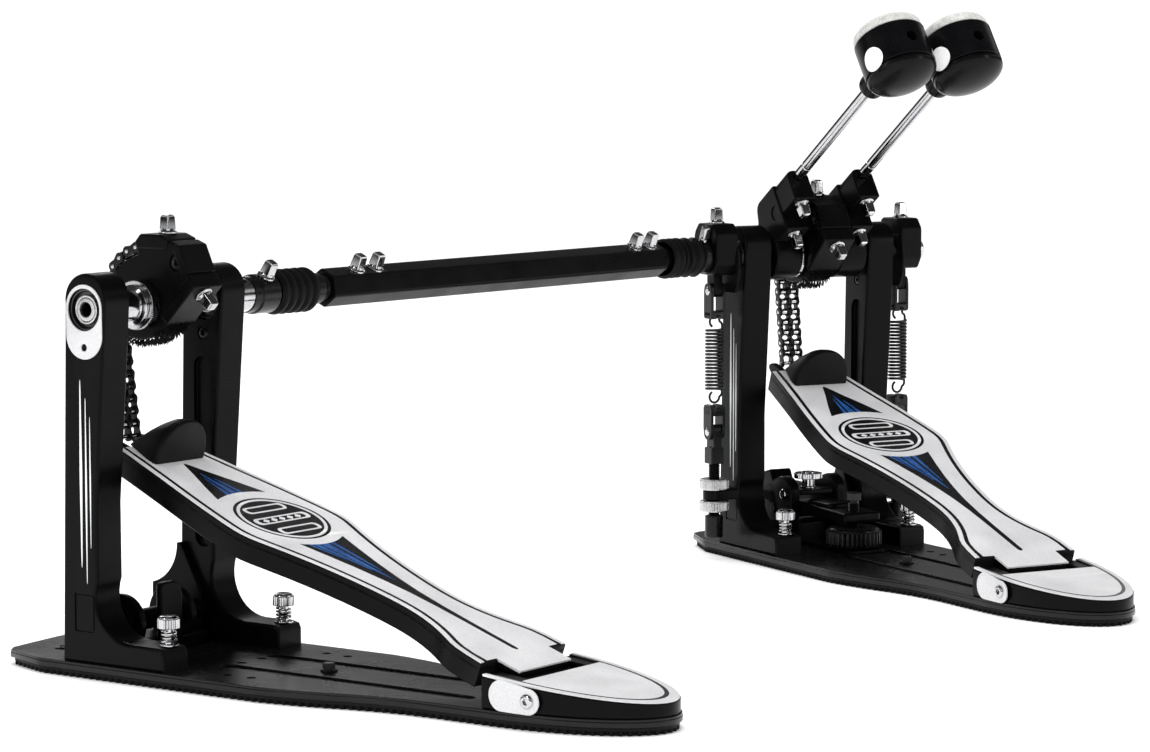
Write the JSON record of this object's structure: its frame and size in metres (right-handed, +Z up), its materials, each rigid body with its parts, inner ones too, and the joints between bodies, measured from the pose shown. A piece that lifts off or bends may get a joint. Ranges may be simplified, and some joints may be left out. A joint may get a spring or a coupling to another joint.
{
  "type": "double bass drum pedal",
  "caption": "Double bass drum pedal: a twin-beater main pedal and a slave pedal joined by a telescopic drive shaft with universal joints.",
  "frame": {"origin": "on the floor under the middle of the main pedal axle", "axes": "+X along the main axle to the player's right, +Y towards the drum, +Z up"},
  "size_m": [0.648, 0.5349, 0.3342],
  "materials": {
    "powder_coat": "satin black powder coat on cast alloy",
    "base_steel": "satin black steel sheet",
    "rubber": "matt black rubber",
    "cast_aluminium": "fine matt silver top, black sides",
    "black_plastic": "smooth black plastic",
    "felt": "pressed white felt",
    "chrome": "bright chrome",
    "plain_steel": "plated steel",
    "black_steel": "black oxide steel"
  },
  "bodies": {
    "main_frame": {"main_base_plate": "base_steel", "main_rubber_mat": "rubber", "main_left_post": "powder_coat", "main_right_post": "powder_coat", "main_bearings": "plain_steel", "main_heel_block": "cast_aluminium", "main_hinge_pin": "chrome", "main_spurs": "chrome", "main_bridge": "powder_coat", "tension_rods": "plain_steel", "main_boot": "rubber"},
    "slave_frame": {"slave_base_plate": "base_steel", "slave_rubber_mat": "rubber", "slave_left_post": "powder_coat", "slave_right_post": "powder_coat", "slave_bearings": "plain_steel", "slave_heel_block": "cast_aluminium", "slave_hinge_pin": "chrome", "slave_spurs": "chrome", "slave_bridge": "powder_coat"},
    "main_treadle": {"main_footboard": "cast_aluminium", "main_toe_stop": "black_plastic"},
    "slave_treadle": {"slave_footboard": "cast_aluminium", "slave_toe_stop": "black_plastic"},
    "right_drive": {"main_axle": "chrome", "main_cam": "powder_coat", "right_beater_holder": "powder_coat", "right_beater_rod": "chrome", "right_beater_head": "black_plastic", "right_beater_felt": "felt", "main_drive_bolts": "chrome", "right_rocker": "powder_coat", "main_chain_wrap": "plain_steel"},
    "left_drive": {"left_sleeve": "powder_coat", "left_beater_holder": "powder_coat", "left_beater_rod": "chrome", "left_beater_head": "black_plastic", "left_beater_felt": "felt", "left_drive_bolts": "chrome", "left_rocker": "powder_coat"},
    "slave_drive": {"slave_axle": "chrome", "slave_cam": "powder_coat", "slave_drive_bolts": "chrome", "slave_chain_wrap": "plain_steel"},
    "shaft_tube": {"drive_shaft_tube": "powder_coat", "shaft_bolts": "chrome"},
    "shaft_rod": {"drive_shaft_rod": "plain_steel", "slave_boot": "rubber"},
    "main_chain_middle": {"main_chain_middle": "plain_steel"},
    "main_chain_run": {"main_chain_run": "plain_steel"},
    "slave_chain_middle": {"slave_chain_middle": "plain_steel"},
    "slave_chain_run": {"slave_chain_run": "plain_steel"},
    "right_link": {"right_spring_link": "black_steel"},
    "right_clevis": {"right_spring_clevis": "black_steel"},
    "right_coil": {"right_spring": "black_steel"},
    "left_link": {"left_spring_link": "black_steel"},
    "left_clevis": {"left_spring_clevis": "black_steel"},
    "left_coil": {"left_spring": "black_steel"},
    "clamp_jaw": {"clamp_jaw": "powder_coat"},
    "clamp_wheel": {"clamp_wheel": "black_plastic"}
  },
  "joints": [
    {"name": "shaft_extend", "type": "slide", "parent": "main_frame", "child": "slave_frame", "axis": [-0.9205, -0.3909, 0], "range_m": [0, 0.08]},
    {"name": "right_beater_swing", "type": "hinge", "parent": "main_frame", "child": "right_drive", "pos_m": [0, 0, 0.185], "axis": [-1, 0, 0], "range_deg": [0, 55], "stiffness_Nm_per_rad": 0.5, "springref_deg": -20.05},
    {"name": "left_beater_swing", "type": "hinge", "parent": "main_frame", "child": "left_drive", "pos_m": [0, 0, 0.185], "axis": [-1, 0, 0], "range_deg": [0, 55], "stiffness_Nm_per_rad": 0.5, "springref_deg": -20.05},
    {"name": "main_treadle_hinge", "type": "hinge", "parent": "main_frame", "child": "main_treadle", "pos_m": [0, -0.241, 0.015], "axis": [-1, 0, 0], "range_deg": [0, 6.25]},
    {"name": "shaft_tube_spin", "type": "hinge", "parent": "main_frame", "child": "shaft_tube", "pos_m": [-0.0943, 0, 0.185], "axis": [-0.9205, -0.3909, 0], "range_deg": [0, 55]},
    {"name": "shaft_rod_spin", "type": "hinge", "parent": "slave_frame", "child": "shaft_rod", "pos_m": [-0.40779, -0.13312, 0.185], "axis": [-0.9205, -0.3909, 0], "range_deg": [0, 55]},
    {"name": "slave_cam_swing", "type": "hinge", "parent": "slave_frame", "child": "slave_drive", "pos_m": [-0.5003, -0.1784, 0.185], "axis": [-0.8982, -0.4396, 0], "range_deg": [0, 55]},
    {"name": "slave_treadle_hinge", "type": "hinge", "parent": "slave_frame", "child": "slave_treadle", "pos_m": [-0.39435, -0.39486, 0.015], "axis": [-0.8982, -0.4396, 0], "range_deg": [0, 6.25]},
    {"name": "main_chain_top_bend", "type": "hinge", "parent": "right_drive", "child": "main_chain_middle", "pos_m": [0, 0.02335, 0.20303], "axis": [1, 0, 0], "range_deg": [0, 36.26]},
    {"name": "main_chain_low_bend", "type": "hinge", "parent": "main_chain_middle", "child": "main_chain_run", "pos_m": [0, 0.0295, 0.185], "axis": [1, 0, 0], "range_deg": [0, 26.44]},
    {"name": "slave_chain_top_bend", "type": "hinge", "parent": "slave_drive", "child": "slave_chain_middle", "pos_m": [-0.51057, -0.15743, 0.20303], "axis": [0.8982, 0.4396, 0], "range_deg": [0, 36.26]},
    {"name": "slave_chain_low_bend", "type": "hinge", "parent": "slave_chain_middle", "child": "slave_chain_run", "pos_m": [-0.51327, -0.1519, 0.185], "axis": [0.8982, 0.4396, 0], "range_deg": [0, 26.44]},
    {"name": "right_link_turn", "type": "hinge", "parent": "right_drive", "child": "right_link", "pos_m": [0.066, 0.002, 0.164], "axis": [1, 0, 0], "range_deg": [0, 66.2]},
    {"name": "right_clevis_turn", "type": "hinge", "parent": "main_frame", "child": "right_clevis", "pos_m": [0.066, 0.002, 0.0785], "axis": [1, 0, 0], "range_deg": [0, 11.1]},
    {"name": "right_spring_stretch", "type": "slide", "parent": "right_clevis", "child": "right_coil", "axis": [0, 0, 1], "range_m": [0, 0.0092], "deforming": ["right_spring"]},
    {"name": "left_link_turn", "type": "hinge", "parent": "left_drive", "child": "left_link", "pos_m": [-0.066, 0.002, 0.164], "axis": [1, 0, 0], "range_deg": [0, 66.2]},
    {"name": "left_clevis_turn", "type": "hinge", "parent": "main_frame", "child": "left_clevis", "pos_m": [-0.066, 0.002, 0.0785], "axis": [1, 0, 0], "range_deg": [0, 11.1]},
    {"name": "left_spring_stretch", "type": "slide", "parent": "left_clevis", "child": "left_coil", "axis": [0, 0, 1], "range_m": [0, 0.0092], "deforming": ["left_spring"]},
    {"name": "clamp_wheel_turn", "type": "hinge", "parent": "main_frame", "child": "clamp_wheel", "pos_m": [0, -0.052, 0.0104], "axis": [0, 0, 1], "range_deg": [0, 1440]},
    {"name": "clamp_jaw_tilt", "type": "hinge", "parent": "main_frame", "child": "clamp_jaw", "pos_m": [0, 0.008, 0.028], "axis": [-1, 0, 0], "range_deg": [0, 4.8]}
  ],
  "couplings": [
    {"joint": "main_treadle_hinge", "follows": "right_beater_swing", "ratio": 0.11255},
    {"joint": "shaft_tube_spin", "follows": "left_beater_swing", "ratio": 1},
    {"joint": "shaft_rod_spin", "follows": "left_beater_swing", "ratio": 1},
    {"joint": "slave_cam_swing", "follows": "left_beater_swing", "ratio": 1},
    {"joint": "slave_treadle_hinge", "follows": "left_beater_swing", "ratio": 0.11255},
    {"joint": "main_chain_top_bend", "follows": "right_beater_swing", "ratio": 0.6575},
    {"joint": "main_chain_low_bend", "follows": "right_beater_swing", "ratio": 0.47886},
    {"joint": "slave_chain_top_bend", "follows": "left_beater_swing", "ratio": 0.6575},
    {"joint": "slave_chain_low_bend", "follows": "left_beater_swing", "ratio": 0.47886},
    {"joint": "right_link_turn", "follows": "right_beater_swing", "ratio": 1.2},
    {"joint": "right_clevis_turn", "follows": "right_beater_swing", "ratio": 0.2},
    {"joint": "right_spring_stretch", "follows": "right_beater_swing", "m_per_rad": 0.0094382},
    {"joint": "left_link_turn", "follows": "left_beater_swing", "ratio": 1.2},
    {"joint": "left_clevis_turn", "follows": "left_beater_swing", "ratio": 0.2},
    {"joint": "left_spring_stretch", "follows": "left_beater_swing", "m_per_rad": 0.0094382},
    {"joint": "clamp_jaw_tilt", "follows": "clamp_wheel_turn", "ratio": 0.0033125}
  ]
}
